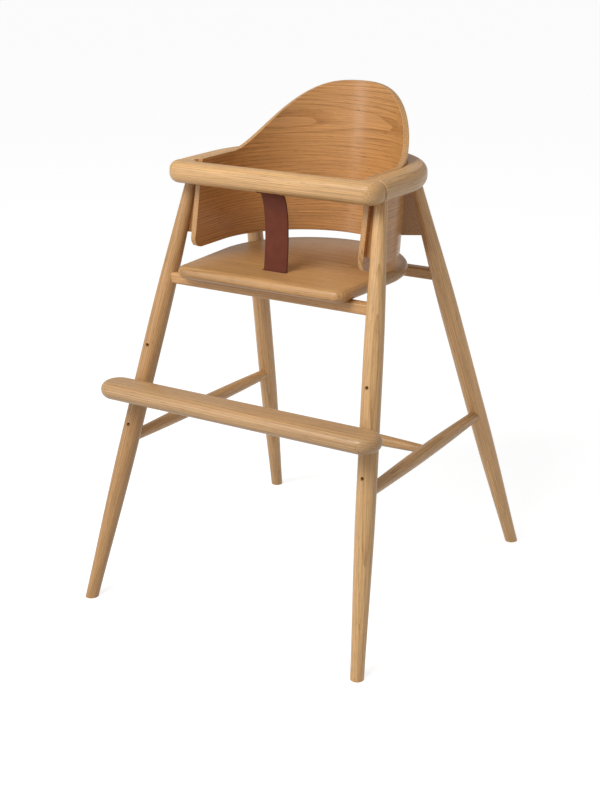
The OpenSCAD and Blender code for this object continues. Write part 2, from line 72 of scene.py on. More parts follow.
def soft_light(name, shape, size, watts, place, target):
    data = bpy.data.lights.new(name, "AREA")
    data.shape = shape
    data.size, data.size_y = size
    data.energy = watts
    light = bpy.data.objects.new(name, data)
    light.location = place
    aim = light.location - Vector(target)
    light.rotation_euler = aim.to_track_quat("Z", "Y").to_euler()
    scene.collection.objects.link(light)


soft_light("key", "DISK", (1.3, 1.3), 40.0, (-0.25, -1.65, 2.20), (0, 0, 0.45))
soft_light("strip", "RECTANGLE", (0.40, 1.5), 12.0, (-1.45, -2.10, 1.15), (0, 0, 0.75))

floor_mesh = bpy.data.meshes.new("floor")
floor_mesh.from_pydata([(-40, -40, 0), (40, -40, 0), (40, 40, 0), (-40, 40, 0)], [], [(0, 1, 2, 3)])
floor = bpy.data.objects.new("floor", floor_mesh)
scene.collection.objects.link(floor)
floor_paint = bpy.data.materials.new("pale floor")
floor_paint.use_nodes = True
floor_look = floor_paint.node_tree.nodes["Principled BSDF"].inputs
floor_look["Base Color"].default_value = (0.5, 0.5, 0.5, 1)
floor_look["Emission Color"].default_value = (1, 1, 1, 1)
floor_look["Emission Strength"].default_value = 0.72
floor_look["Roughness"].default_value = 0.9
floor_look["Specular IOR Level"].default_value = 0.1
floor_mesh.materials.append(floor_paint)
floor.visible_diffuse = False


# The legs: four turned oak poles, slim at the floor, full at the footrest and slim again
# under the rail. The front pair is bored level for the footrest's bolts, with a flat-bottomed
# recess behind for each bolt's head.
def oak(name, pith, along=None, tint=(1.0, 1.0, 1.0), warp=0.006, ring=0.0028, gloss=0.38):
    """Oiled oak. Its grain runs along a direction, or along the piece's own grain coordinates."""
    material = bpy.data.materials.new(name)
    material.use_nodes = True
    nodes, links = material.node_tree.nodes, material.node_tree.links
    shader = nodes["Principled BSDF"]

    def tinted(*colour):
        return (*[c * t for c, t in zip(colour, tint)], 1)

    def add(kind, **inputs):
        node = nodes.new(kind)
        for key_name, value in inputs.items():
            node.inputs[key_name.replace("_", " ")].default_value = value
        return node

    mapping = add("ShaderNodeMapping")
    if along is None:
        source = nodes.new("ShaderNodeAttribute")
        source.attribute_name = "grain"
        links.new(source.outputs["Vector"], mapping.inputs["Vector"])
    else:
        source = nodes.new("ShaderNodeTexCoord")
        links.new(source.outputs["Object"], mapping.inputs["Vector"])
        turn = Vector(along).normalized().rotation_difference(Vector((1, 0, 0)))
        mapping.inputs["Rotation"].default_value = turn.to_euler()
    mapping.inputs["Location"].default_value = pith

    def scaled(x, y, z):
        node = nodes.new("ShaderNodeVectorMath")
        node.operation = "MULTIPLY"
        node.inputs[1].default_value = (x, y, z)
        links.new(mapping.outputs["Vector"], node.inputs[0])
        return node.outputs["Vector"]

    drift = add("ShaderNodeTexNoise", Scale=11.0, Detail=2.5, Roughness=0.55)
    links.new(scaled(0.16, 1, 1), drift.inputs["Vector"])
    centred = nodes.new("ShaderNodeVectorMath")
    centred.operation = "MULTIPLY_ADD"
    centred.inputs[1].default_value = (0, 2 * warp, 2 * warp)
    centred.inputs[2].default_value = (0, -warp, -warp)
    links.new(drift.outputs["Color"], centred.inputs[0])
    bent = nodes.new("ShaderNodeVectorMath")
    bent.operation = "ADD"
    links.new(scaled(0.02, 1, 1), bent.inputs[0])
    links.new(centred.outputs["Vector"], bent.inputs[1])
    rings = add("ShaderNodeTexWave", Scale=0.314 / ring, Distortion=1.2, Detail=2.0)
    rings.inputs["Detail Scale"].default_value = 0.6
    rings.wave_type, rings.rings_direction, rings.wave_profile = "RINGS", "X", "SAW"
    links.new(bent.outputs["Vector"], rings.inputs["Vector"])

    summer = nodes.new("ShaderNodeValToRGB")
    stops = summer.color_ramp.elements
    stops[0].position, stops[0].color = 0.0, tinted(0.500, 0.280, 0.112)
    stops[1].position, stops[1].color = 1.0, tinted(0.660, 0.405, 0.190)
    middle = stops.new(0.35)
    middle.color = tinted(0.640, 0.387, 0.178)
    links.new(rings.outputs["Fac"], summer.inputs["Fac"])

    fibre = add("ShaderNodeTexNoise", Scale=700.0, Detail=2.0)
    links.new(scaled(0.012, 1, 1), fibre.inputs["Vector"])
    fibre_range = add("ShaderNodeMapRange", To_Min=0.76, To_Max=1.18)
    fibre_range.inputs["From Min"].default_value = 0.3
    fibre_range.inputs["From Max"].default_value = 0.7
    links.new(fibre.outputs["Fac"], fibre_range.inputs["Value"])
    cloud = add("ShaderNodeTexNoise", Scale=5.0, Detail=1.0)
    links.new(scaled(0.4, 1, 1), cloud.inputs["Vector"])
    cloud_range = add("ShaderNodeMapRange", To_Min=0.88, To_Max=1.10)
    cloud_range.inputs["From Min"].default_value = 0.3
    cloud_range.inputs["From Max"].default_value = 0.7
    links.new(cloud.outputs["Fac"], cloud_range.inputs["Value"])
    shade = nodes.new("ShaderNodeMath")
    shade.operation = "MULTIPLY"
    links.new(fibre_range.outputs["Result"], shade.inputs[0])
    links.new(cloud_range.outputs["Result"], shade.inputs[1])
    lit = nodes.new("ShaderNodeVectorMath")
    lit.operation = "SCALE"
    links.new(summer.outputs["Color"], lit.inputs[0])
    links.new(shade.outputs["Value"], lit.inputs["Scale"])

    pores = add("ShaderNodeTexNoise", Scale=1250.0, Detail=1.0)
    links.new(scaled(0.045, 1, 1), pores.inputs["Vector"])
    open_pores = nodes.new("ShaderNodeValToRGB")
    open_pores.color_ramp.elements[0].position = 0.60
    open_pores.color_ramp.elements[1].position = 0.70
    links.new(pores.outputs["Fac"], open_pores.inputs["Fac"])
    early = nodes.new("ShaderNodeMath")
    early.operation = "SUBTRACT"
    early.inputs[0].default_value = 1.15
    links.new(rings.outputs["Fac"], early.inputs[1])
    pore_share = nodes.new("ShaderNodeMath")
    pore_share.operation = "MULTIPLY"
    pore_share.use_clamp = True
    links.new(open_pores.outputs["Color"], pore_share.inputs[0])
    links.new(early.outputs["Value"], pore_share.inputs[1])
    softened = nodes.new("ShaderNodeMath")
    softened.operation = "MULTIPLY"
    softened.inputs[1].default_value = 0.75
    links.new(pore_share.outputs["Value"], softened.inputs[0])
    wood = nodes.new("ShaderNodeMix")
    wood.data_type = "RGBA"
    wood.inputs["B"].default_value = tinted(0.25, 0.125, 0.045)
    links.new(softened.outputs["Value"], wood.inputs["Factor"])
    links.new(lit.outputs["Vector"], wood.inputs["A"])
    links.new(wood.outputs["Result"], shader.inputs["Base Color"])

    sheen = add("ShaderNodeMapRange", To_Min=gloss, To_Max=gloss + 0.22)
    links.new(softened.outputs["Value"], sheen.inputs["Value"])
    links.new(sheen.outputs["Result"], shader.inputs["Roughness"])
    bump = add("ShaderNodeBump", Strength=0.35, Distance=0.0002)
    bump.invert = True
    links.new(softened.outputs["Value"], bump.inputs["Height"])
    links.new(bump.outputs["Normal"], shader.inputs["Normal"])
    shader.inputs["Specular IOR Level"].default_value = 0.42
    return material


def turned_pole_tree():
    """A pole turned between two points, sawn level at the floor and bored level from the front."""
    tree = bpy.data.node_groups.new("turned pole", "GeometryNodeTree")
    new_socket = tree.interface.new_socket
    new_socket("Geometry", in_out="OUTPUT", socket_type="NodeSocketGeometry")
    new_socket("From", in_out="INPUT", socket_type="NodeSocketVector")
    new_socket("To", in_out="INPUT", socket_type="NodeSocketVector")
    for label in ("First Radius", "Belly Radius", "Last Radius", "Belly Start", "Belly End",
                  "Fullness", "Bore Radius", "Head Radius", "Head Seat"):
        new_socket(label, in_out="INPUT", socket_type="NodeSocketFloat")
    new_socket("Bores", in_out="INPUT", socket_type="NodeSocketInt")
    new_socket("First Bore", in_out="INPUT", socket_type="NodeSocketVector")
    new_socket("Bore Step", in_out="INPUT", socket_type="NodeSocketVector")
    new_socket("Material", in_out="INPUT", socket_type="NodeSocketMaterial")
    nodes, links = tree.nodes, tree.links
    given = nodes.new("NodeGroupInput").outputs

    def calc(operation, first, second=None, clamp=False):
        node = nodes.new("ShaderNodeMath")
        node.operation = operation
        node.use_clamp = clamp
        for socket, value in zip(node.inputs, (first, second)):
            if isinstance(value, (int, float)):
                socket.default_value = value
            elif value is not None:
                links.new(value, socket)
        return node.outputs["Value"]

    line = nodes.new("GeometryNodeCurvePrimitiveLine")
    links.new(given["From"], line.inputs["Start"])
    links.new(given["To"], line.inputs["End"])
    steps = nodes.new("GeometryNodeResampleCurve")
    steps.inputs["Count"].default_value = 64
    links.new(line.outputs["Curve"], steps.inputs["Curve"])
    place = nodes.new("GeometryNodeSplineParameter").outputs["Factor"]
    rise = calc("DIVIDE", place, given["Belly Start"], clamp=True)
    swell = calc("POWER", calc("SINE", calc("MULTIPLY", rise, math.pi / 2)), given["Fullness"])
    beyond = calc("SUBTRACT", place, given["Belly End"])
    fall = calc("DIVIDE", beyond, calc("SUBTRACT", 1.0, given["Belly End"]), clamp=True)
    # The last of the quarter turn is left out, so that the cosine can't fall below nought.
    quarter_turn = math.pi / 2 * 0.99999
    waist = calc("POWER", calc("COSINE", calc("MULTIPLY", fall, quarter_turn)), given["Fullness"])
    first_gain = calc("SUBTRACT", given["Belly Radius"], given["First Radius"])
    last_loss = calc("SUBTRACT", given["Belly Radius"], given["Last Radius"])
    low = calc("MULTIPLY", first_gain, swell)
    high = calc("MULTIPLY", last_loss, calc("SUBTRACT", 1.0, waist))
    radius = calc("SUBTRACT", calc("ADD", given["First Radius"], low), high)
    round_section = nodes.new("GeometryNodeCurvePrimitiveCircle")
    round_section.inputs["Resolution"].default_value = 56
    round_section.inputs["Radius"].default_value = 1.0
    pole = nodes.new("GeometryNodeCurveToMesh")
    pole.inputs["Fill Caps"].default_value = True
    links.new(steps.outputs["Curve"], pole.inputs["Curve"])
    links.new(round_section.outputs["Curve"], pole.inputs["Profile Curve"])
    links.new(radius, pole.inputs["Scale"])

    def drill(drill_radius, depth, shift):
        """Level cylinders, one at each bore, with their middles shifted backwards."""
        bit = nodes.new("GeometryNodeMeshCylinder")
        bit.inputs["Vertices"].default_value = 32
        bit.inputs["Depth"].default_value = depth
        links.new(drill_radius, bit.inputs["Radius"])
        spots = nodes.new("GeometryNodeMeshLine")
        links.new(given["Bores"], spots.inputs["Count"])
        start = nodes.new("ShaderNodeVectorMath")
        start.operation = "ADD"
        links.new(given["First Bore"], start.inputs[0])
        behind = nodes.new("ShaderNodeCombineXYZ")
        if shift is not None:
            links.new(shift, behind.inputs["Y"])
        links.new(behind.outputs["Vector"], start.inputs[1])
        links.new(start.outputs["Vector"], spots.inputs["Start Location"])
        links.new(given["Bore Step"], spots.inputs["Offset"])
        put = nodes.new("GeometryNodeInstanceOnPoints")
        links.new(spots.outputs["Mesh"], put.inputs["Points"])
        links.new(bit.outputs["Mesh"], put.inputs["Instance"])
        put.inputs["Rotation"].default_value = (math.pi / 2, 0, 0)
        return put.outputs["Instances"]

    saw = nodes.new("GeometryNodeMeshCube")
    saw.inputs["Size"].default_value = (2, 2, 0.2)
    level = nodes.new("GeometryNodeTransform")
    level.inputs["Translation"].default_value = (0, 0, -0.1)
    links.new(saw.outputs["Mesh"], level.inputs["Geometry"])
    bored = nodes.new("GeometryNodeMeshBoolean")
    bored.operation = "DIFFERENCE"
    bored.solver = "EXACT"
    bored.inputs["Self Intersection"].default_value = True
    links.new(pole.outputs["Mesh"], bored.inputs["Mesh 1"])
    links.new(level.outputs["Geometry"], bored.inputs["Mesh 2"])
    links.new(drill(given["Bore Radius"], 0.08, None), bored.inputs["Mesh 2"])
    head_depth = 0.03
    head_middle = calc("ADD", given["Head Seat"], head_depth / 2)
    links.new(drill(given["Head Radius"], head_depth, head_middle), bored.inputs["Mesh 2"])
    real = nodes.new("GeometryNodeRealizeInstances")
    links.new(bored.outputs["Mesh"], real.inputs["Geometry"])
    painted = nodes.new("GeometryNodeSetMaterial")
    links.new(real.outputs["Geometry"], painted.inputs["Geometry"])
    links.new(given["Material"], painted.inputs["Material"])
    links.new(painted.outputs["Geometry"], nodes.new("NodeGroupOutput").inputs["Geometry"])
    return tree


turned_pole = turned_pole_tree()


def made_by(tree, name, **sizes):
    """Runs a tree on an empty mesh and keeps the result as a plain piece."""
    piece = bpy.data.objects.new(name, bpy.data.meshes.new(name))
    scene.collection.objects.link(piece)
    maker = piece.modifiers.new("maker", "NODES")
    maker.node_group = tree
    for item in tree.interface.items_tree:
        key_name = item.name.lower().replace(" ", "_")
        if item.in_out == "INPUT" and key_name in sizes:
            maker[item.identifier] = sizes[key_name]
    evaluated = piece.evaluated_get(bpy.context.evaluated_depsgraph_get())
    mesh = bpy.data.meshes.new_from_object(evaluated)
    piece.modifiers.remove(maker)
    piece.data = mesh
    mesh.name = name
    mesh.shade_smooth()
    mesh.set_sharp_from_angle(angle=math.radians(35))
    return piece


rail_z = 0.708
leg_lines = {
    "front_left_leg": (Vector((-0.266, -0.298, 0)), Vector((-0.179, -0.0885, rail_z))),
    "front_right_leg": (Vector((0.266, -0.298, 0)), Vector((0.179, -0.0885, rail_z))),
    "rear_left_leg": (Vector((-0.264, 0.298, 0)), Vector((-0.163, 0.058, rail_z))),
    "rear_right_leg": (Vector((0.264, 0.298, 0)), Vector((0.163, 0.058, rail_z))),
}


def on_line(line, z):
    return line[0].lerp(line[1], z / rail_z)


# Painted light and shade: the four legs are one oak, but each gets its own tint. The front left leg
# is darker and the right-hand legs lighter, copying how the light falls on them.
leg_painted_light_tints = ((0.78, 0.70, 0.60), (1.04, 1.02, 0.96), (0.90, 0.84, 0.74), (1.06, 1.00, 0.91))
for number, (name, line) in enumerate(leg_lines.items()):
    # The pole runs below the floor, to be sawn level, and up into the rail as a tenon.
    low_end, high_end = on_line(line, -0.012), on_line(line, rail_z + 0.014)
    reach = high_end.z - low_end.z
    first_bore, second_bore = on_line(line, 0.3035), on_line(line, 0.3705)
    sizes = {
        "from": low_end, "to": high_end,
        "first_radius": 0.011, "belly_radius": 0.016, "last_radius": 0.0105,
        "belly_start": 0.292 / reach, "belly_end": 0.472 / reach, "fullness": 1.5,
        "bore_radius": 0.0031, "head_radius": 0.00675, "head_seat": 0.0117,
        "bores": 3 if name.startswith("front") else 0,
        "first_bore": first_bore, "bore_step": second_bore - first_bore,
    }
    pith = (0.13 * number, 0.045 + 0.01 * number, 0.03)
    sizes["material"] = oak(name + "_oak", pith, along=line[1] - line[0], tint=leg_painted_light_tints[number])
    leg = made_by(turned_pole, name + "_turned", **sizes)
    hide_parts(name)
    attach(leg, "chair")


# The stretchers: an H of turned oak spindles, fullest at the middle. The side ones are tenoned
# and glued into the legs, and the cross one into the side ones.
def spindle(name, start, end, end_radius, mid_radius, seed):
    material = oak(name + "_oak", (seed, 0.05, 0.035), along=end - start, tint=(0.90, 0.84, 0.75))
    piece = made_by(
        turned_pole, name + "_turned",
        **{"from": start, "to": end, "first_radius": end_radius, "belly_radius": mid_radius,
           "last_radius": end_radius, "belly_start": 0.5, "belly_end": 0.5, "fullness": 1.0,
           "bores": 0, "material": material})
    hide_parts(name)
    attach(piece, "chair")


stretcher_z = 0.276
tenon_start = 0.010
for side, sign in (("left", -1), ("right", 1)):
    front_end = on_line(leg_lines["front_" + side + "_leg"], stretcher_z)
    rear_end = on_line(leg_lines["rear_" + side + "_leg"], stretcher_z)
    inward = (rear_end - front_end).normalized() * tenon_start
    spindle(side + "_side_stretcher", front_end + inward, rear_end - inward,
            0.0092, 0.012, 0.2 + 0.1 * sign)
cross_half = 0.2195
spindle("cross_stretcher", Vector((-cross_half, 0, stretcher_z)),
        Vector((cross_half, 0, stretcher_z)), 0.0073, 0.012, 0.5)


# The arm rail: oak lengths glued end to end into one horseshoe, almost round in section.
# Its inner side is cut back to take the bent shell, and the legs are tenoned up into it.
def loft(name, rings, grain):
    """A capped skin through rings of points; each keeps its place in the board it was cut from."""
    mesh = bpy.data.meshes.new(name)
    count = len(rings[0])
    faces = []
    for i in range(len(rings) - 1):
        for k in range(count):
            m = (k + 1) % count
            faces.append((i * count + k, i * count + m, (i + 1) * count + m, (i + 1) * count + k))
    faces.append(tuple(reversed(range(count))))
    faces.append(tuple(range((len(rings) - 1) * count, len(rings) * count)))
    mesh.from_pydata([tuple(p) for ring in rings for p in ring], [], faces)
    layer = mesh.attributes.new("grain", "FLOAT_VECTOR", "POINT")
    layer.data.foreach_set("vector", [c for ring in grain for g in ring for c in g])
    form = bmesh.new()
    form.from_mesh(mesh)
    bmesh.ops.recalc_face_normals(form, faces=form.faces)
    form.to_mesh(mesh)
    form.free()
    mesh.shade_smooth()
    mesh.set_sharp_from_angle(angle=math.radians(40))
    piece = bpy.data.objects.new(name, mesh)
    scene.collection.objects.link(piece)
    return piece


def rounded_square(width, height, radii, per_corner=9, inset=0.0):
    """Points round a section, with one radius per corner from the upper outer one on."""
    points = []
    for quarter, (sx, sy) in enumerate(((1, 1), (-1, 1), (-1, -1), (1, -1))):
        r = radii[quarter]
        cx, cy = sx * (width / 2 - r), sy * (height / 2 - r)
        for i in range(per_corner + 1):
            a = math.pi / 2 * (quarter + i / per_corner)
            points.append((cx + (r - inset) * math.cos(a), cy + (r - inset) * math.sin(a)))
    return points


arm_x, bend_y, rail_mid, joint_y = 0.181, -0.019, 0.726, -0.107
shell_r, lean_ratio = 0.1645, 0.13
shell_lean = math.atan(lean_ratio)


def shell_centre(z):
    return bend_y + lean_ratio * (z - rail_mid)


def clear_of_shell(p):
    """Moves a point of the rail out to the shell's outer face where the rail is cut away for it."""
    x, y, z = p
    centre = shell_centre(z)
    if y < centre:
        return (math.copysign(max(abs(x), shell_r), x), y, z)
    r = math.hypot(x, (y - centre) * math.cos(shell_lean))
    if r >= shell_r:
        return p
    return (x * shell_r / r, centre + (y - centre) * shell_r / r, z)


rail_path = []
straight = bend_y - joint_y
arm_steps, bend_steps = 8, 72
right_side, left_side = Vector((1, 0, 0)), Vector((-1, 0, 0))
for i in range(arm_steps + 1):
    run = straight * i / arm_steps
    rail_path.append((Vector((arm_x, joint_y + run, 0)), right_side, run))
for i in range(1, bend_steps):
    a = math.pi * i / bend_steps
    out = Vector((math.cos(a), math.sin(a), 0))
    rail_path.append((Vector((0, bend_y, 0)) + out * arm_x, out, straight + arm_x * a))
bend_end = straight + math.pi * arm_x
for i in range(arm_steps + 1):
    run = straight * i / arm_steps
    rail_path.append((Vector((-arm_x, bend_y - run, 0)), left_side, bend_end + run))
# The arms' ends are eased, which leaves the fine V between arm and bar.
eased = 0.0009
rail_length = rail_path[-1][2]
rail_path.insert(1, (Vector((arm_x, joint_y + eased, 0)), right_side, eased))
rail_path.insert(-1, (Vector((-arm_x, joint_y + eased, 0)), left_side, rail_length - eased))
rail_rings, rail_grain = [], []
rail_side, rail_corners = 0.036, (0.015, 0.004, 0.015, 0.015)
for number, (centre, out, run) in enumerate(rail_path):
    at_end = number in (0, len(rail_path) - 1)
    section = rounded_square(rail_side, rail_side, rail_corners, inset=eased if at_end else 0)
    rail_rings.append([
        clear_of_shell(centre + out * a + Vector((0, 0, rail_mid + b))) for a, b in section])
    rail_grain.append([(run, a, b) for a, b in section])
arm_rail = loft("arm_rail_bent", rail_rings, rail_grain)
arm_rail.data.materials.append(oak("arm_rail_oak", (0.1, 0.04, 0.05), tint=(0.96, 0.93, 0.86)))
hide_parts("arm_rail")
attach(arm_rail, "chair")

# The front bar: one straight length of oak, doweled and glued on the arms' ends, its outer
# corners rounded over. A fine V is left where bar and arm meet.
def dress(name, material):
    """Gives a piece that is shown as it was modelled its material."""
    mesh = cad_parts[name].data
    mesh.materials.clear()
    mesh.materials.append(material)


across, lengthwise = (1, 0, 0), (0, 1, 0)
dress("front_bar", oak("front_bar_oak", (0.05, 0.155, -0.68), across, tint=(0.97, 0.94, 0.87)))
dress("bar_dowels", oak("dowel_oak", (0, 0.1, -0.7), lengthwise, tint=(0.9, 0.88, 0.86)))

# The back shell: one sheet of moulded plywood glued into the arm rail, faced with crown-cut
# oak veneer whose grain runs round the child. Its top edge rises in one curve to the crest,
# and its plies show as fine bands on every edge.
ply = 0.0095
wing_top, crest_height, crest_end = 0.744, 0.111, 85
shell_low = 0.5975
edge_lean = math.radians(11)


def crest(a):
    """Height of the shell's top edge at an angle, in degrees, from the middle of the back."""
    a = abs(a)
    if a >= crest_end:
        return wing_top
    return wing_top + crest_height * (0.5 + 0.5 * math.cos(math.pi * (a / crest_end) ** 1.35))


def wing_front(z):
    return -0.100 + (z - rail_z) * math.tan(edge_lean)


quarter = shell_r * math.pi / 2
corner = 0.017
corner_z = shell_low + corner


def edge_front(z):
    """Place of the wing's front edge at a height, round the lower corner."""
    if z >= corner_z + corner * math.sin(edge_lean):
        return wing_front(z)
    drop = corner_z - z
    middle = wing_front(corner_z) + corner / math.cos(edge_lean)
    return middle - math.sqrt(max(corner * corner - drop * drop, 0))


def shell_place(u, r, z):
    """Point on the bend: u is the way round from the middle of the back, on the outer face."""
    a = u / shell_r
    return (r * math.sin(a), shell_centre(z) + r * math.cos(a) / math.cos(shell_lean), z)


def sheet_ring(outer, inner, u_values, v_values):
    """A column's section, up the outer face and down the inner one, and its grain."""
    grain = [(u, v, 0.0) for u, v in zip(u_values, v_values)]
    grain += [(u, v, ply) for u, v in zip(reversed(u_values), reversed(v_values))]
    return outer + inner[::-1], grain


rows, wing_steps, half_steps = 40, 26, 60


def wing_column(sign, t):
    """One column of the wing: t is 0 at the bend and 1 at the leaning front edge."""
    outer, inner, us, vs = [], [], [], []
    for k in range(rows + 1):
        z = shell_low + (wing_top - shell_low) * (k / rows)
        y = shell_centre(z) * (1 - t) + edge_front(z) * t
        outer.append((sign * shell_r, y, z))
        inner.append((sign * (shell_r - ply), y, z))
        us.append(sign * (quarter + shell_centre(z) - y))
        vs.append(z)
    return sheet_ring(outer, inner, us, vs)


def bend_column(u):
    outer, inner, vs = [], [], []
    top = crest(math.degrees(u / shell_r))
    for k in range(rows + 1):
        z = shell_low + (top - shell_low) * k / rows
        outer.append(shell_place(u, shell_r, z))
        inner.append(shell_place(u, shell_r - ply, z))
        vs.append(z)
    return sheet_ring(outer, inner, [u] * len(vs), vs)


columns = [wing_column(-1, i / wing_steps) for i in range(wing_steps, 0, -1)]
columns += [bend_column(quarter * i / half_steps) for i in range(-half_steps, half_steps + 1)]
columns += [wing_column(1, i / wing_steps) for i in range(1, wing_steps + 1)]
back_shell = loft("back_shell_moulded", [c[0] for c in columns], [c[1] for c in columns])
softened_edge = back_shell.modifiers.new("eased edges", "BEVEL")
softened_edge.width = 0.0014
softened_edge.segments = 2
softened_edge.limit_method = "ANGLE"
softened_edge.angle_limit = math.radians(50)


def plywood_edge(name):
    """The cut edge of moulded plywood: thin plies, light and dark in turn."""
    material = oak(name, (0, 0.03, 0.03), tint=(0.92, 0.86, 0.78))
    nodes, links = material.node_tree.nodes, material.node_tree.links
    depth = nodes.new("ShaderNodeAttribute")
    depth.attribute_name = "grain"
    split = nodes.new("ShaderNodeSeparateXYZ")
    links.new(depth.outputs["Vector"], split.inputs["Vector"])
    pairs_of_plies = 3.5
    count = nodes.new("ShaderNodeMath")
    count.operation = "MULTIPLY"
    count.inputs[1].default_value = pairs_of_plies / ply
    links.new(split.outputs["Z"], count.inputs[0])
    part = nodes.new("ShaderNodeMath")
    part.operation = "FRACT"
    links.new(count.outputs["Value"], part.inputs[0])
    bands = nodes.new("ShaderNodeValToRGB")
    light, dark = bands.color_ramp.elements
    light.position, light.color = 0.42, (1.0, 1.0, 1.0, 1)
    dark.position, dark.color = 0.58, (0.76, 0.70, 0.64, 1)
    links.new(part.outputs["Value"], bands.inputs["Fac"])
    base = nodes["Principled BSDF"].inputs["Base Color"].links[0].from_socket
    tinted = nodes.new("ShaderNodeMix")
    tinted.data_type, tinted.blend_type = "RGBA", "MULTIPLY"
    tinted.inputs["Factor"].default_value = 1.0
    links.new(base, tinted.inputs["A"])
    links.new(bands.outputs["Color"], tinted.inputs["B"])
    links.new(tinted.outputs["Result"], nodes["Principled BSDF"].inputs["Base Color"])
    return material


back_shell.data.materials.append(oak(
    "shell_veneer", (0, -0.790, 0.035), tint=(0.80, 0.64, 0.46), warp=0.016, ring=0.0052,
    gloss=0.30))
back_shell.data.materials.append(plywood_edge("shell_plies"))
depths = back_shell.data.attributes["grain"].data
for face in back_shell.data.polygons:
    spread = [depths[v].vector.z for v in face.vertices]
    face.material_index = 1 if max(spread) - min(spread) > ply / 2 or len(face.vertices) > 4 else 0
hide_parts("back_shell")
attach(back_shell, "chair")

# The wedge blocks: four oak blocks under the arm rail, each glued between the shell
# and a leg, with its grain running upwards.
for number, name in enumerate(
        ("front_left_wedge", "front_right_wedge", "rear_left_wedge", "rear_right_wedge")):
    pith = (0.1 * number, 0.06, 0.04)
    # Their dark tint is partly painted shade: the blocks sit tucked under the rail between shell
    # and leg, and the tint darkens them well below the rest of the oak.
    dress(name, oak(name + "_oak", pith, along=(0, 0.2, 1), tint=(0.60, 0.46, 0.30)))

# The seat: an oak board with a full round edge, its grain running from side to side. It is
# screwed on two square rails from below and slotted behind its front edge for the strap.
seat_top, seat_thick = 0.579, 0.021
seat_r = seat_thick / 2
back_radius, back_y = 0.168, -0.013
half_front, front_y, corner_r = 0.160, -0.1735, 0.018
corner_x, corner_y = half_front - corner_r, front_y + corner_r
span = math.hypot(corner_x, back_y - corner_y)
flare = math.asin((back_radius - corner_r) / span) - math.atan2(corner_x, back_y - corner_y)


def seat_outline(inset):
    """The round back, the two sides that run in towards the front, and the front corners."""
    points = []

    def arc(cx, cy, r, start, end, n):
        for i in range(n + 1):
            a = start + (end - start) * i / n
            points.append((cx + r * math.cos(a), cy + r * math.sin(a)))

    arc(0, back_y, back_radius - inset, -flare, math.pi + flare, 96)
    arc(-corner_x, corner_y, corner_r - inset, math.pi + flare, 1.5 * math.pi, 14)
    arc(corner_x, corner_y, corner_r - inset, 1.5 * math.pi, 2 * math.pi - flare, 14)
    return points


def round_edged(name, outline, middle_z, half_thick, steps):
    """A board whose edge is a full half round: its outline is drawn in as the edge curves over."""
    board = []
    for k in range(steps + 1):
        tilt = math.pi * (k / steps - 0.5)
        z = middle_z + half_thick * math.sin(tilt)
        board.append([(x, y, z) for x, y in outline(half_thick * (1 - math.cos(tilt)))])
    return loft(name, board, board)


seat = round_edged("seat_board_rounded", seat_outline, seat_top - seat_r, seat_r, 16)


def cut_away(piece, low, high):
    """Cuts a box-shaped opening through a piece."""
    box_mesh = bpy.data.meshes.new("cutter")
    form = bmesh.new()
    bmesh.ops.create_cube(form, size=1.0)
    for vertex in form.verts:
        for axis in range(3):
            vertex.co[axis] = low[axis] if vertex.co[axis] < 0 else high[axis]
    form.to_mesh(box_mesh)
    form.free()
    cutter = bpy.data.objects.new("cutter", box_mesh)
    scene.collection.objects.link(cutter)
    cut = piece.modifiers.new("cut", "BOOLEAN")
    cut.operation, cut.solver, cut.object = "DIFFERENCE", "EXACT", cutter
    evaluated = piece.evaluated_get(bpy.context.evaluated_depsgraph_get())
    mesh = bpy.data.meshes.new_from_object(evaluated)
    piece.modifiers.remove(cut)
    piece.data = mesh
    mesh.set_sharp_from_angle(angle=math.radians(40))
    bpy.data.objects.remove(cutter)


# The seat's dark tint is partly the board's deeper tone and partly painted shade, for the shadow
# that the front bar and back shell cast on it.
seat.data.materials.append(oak(
    "seat_oak", (0, 0.02, -0.535), across, tint=(0.70, 0.62, 0.50), warp=0.012, ring=0.0065,
    gloss=0.34))
cut_away(seat, (-0.023, -0.1195, 0.55), (0.023, -0.1085, 0.59))
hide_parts("seat_board")
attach(seat, "chair")
for name in ("front_seat_rail", "rear_seat_rail"):
    dress(name, oak(name + "_oak", (0.3, 0.09, -0.5), across, tint=(0.80, 0.72, 0.62)))

# The footrest: one long oak board, its ends half round and every edge rounded full. Two bolts
# hold it on the front legs from behind, so that it comes off forwards.
rest_half, rest_round, rest_mid_z, rest_thick = 0.2655, 0.0305, 0.3705, 0.028
rest_low, rest_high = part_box("footrest_board")
rest_mid_y = (rest_low[1] + rest_high[1]) / 2


def stadium(inset):
    r = rest_round - inset
    points = []
    for end in (1, -1):
        for i in range(33):
            a = end * math.pi / -2 + math.pi * i / 32
            middle = end * (rest_half - rest_round)
            points.append((middle + r * math.cos(a), rest_mid_y + r * math.sin(a)))
    return points


footrest = round_edged("footrest_rounded", stadium, rest_mid_z, rest_thick / 2, 18)
footrest.data.materials.append(oak(
    "footrest_oak", (0, 0.27, -0.33), across, tint=(0.82, 0.80, 0.80), warp=0.008, ring=0.004))
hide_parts("footrest_board")
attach(footrest, "footrest")


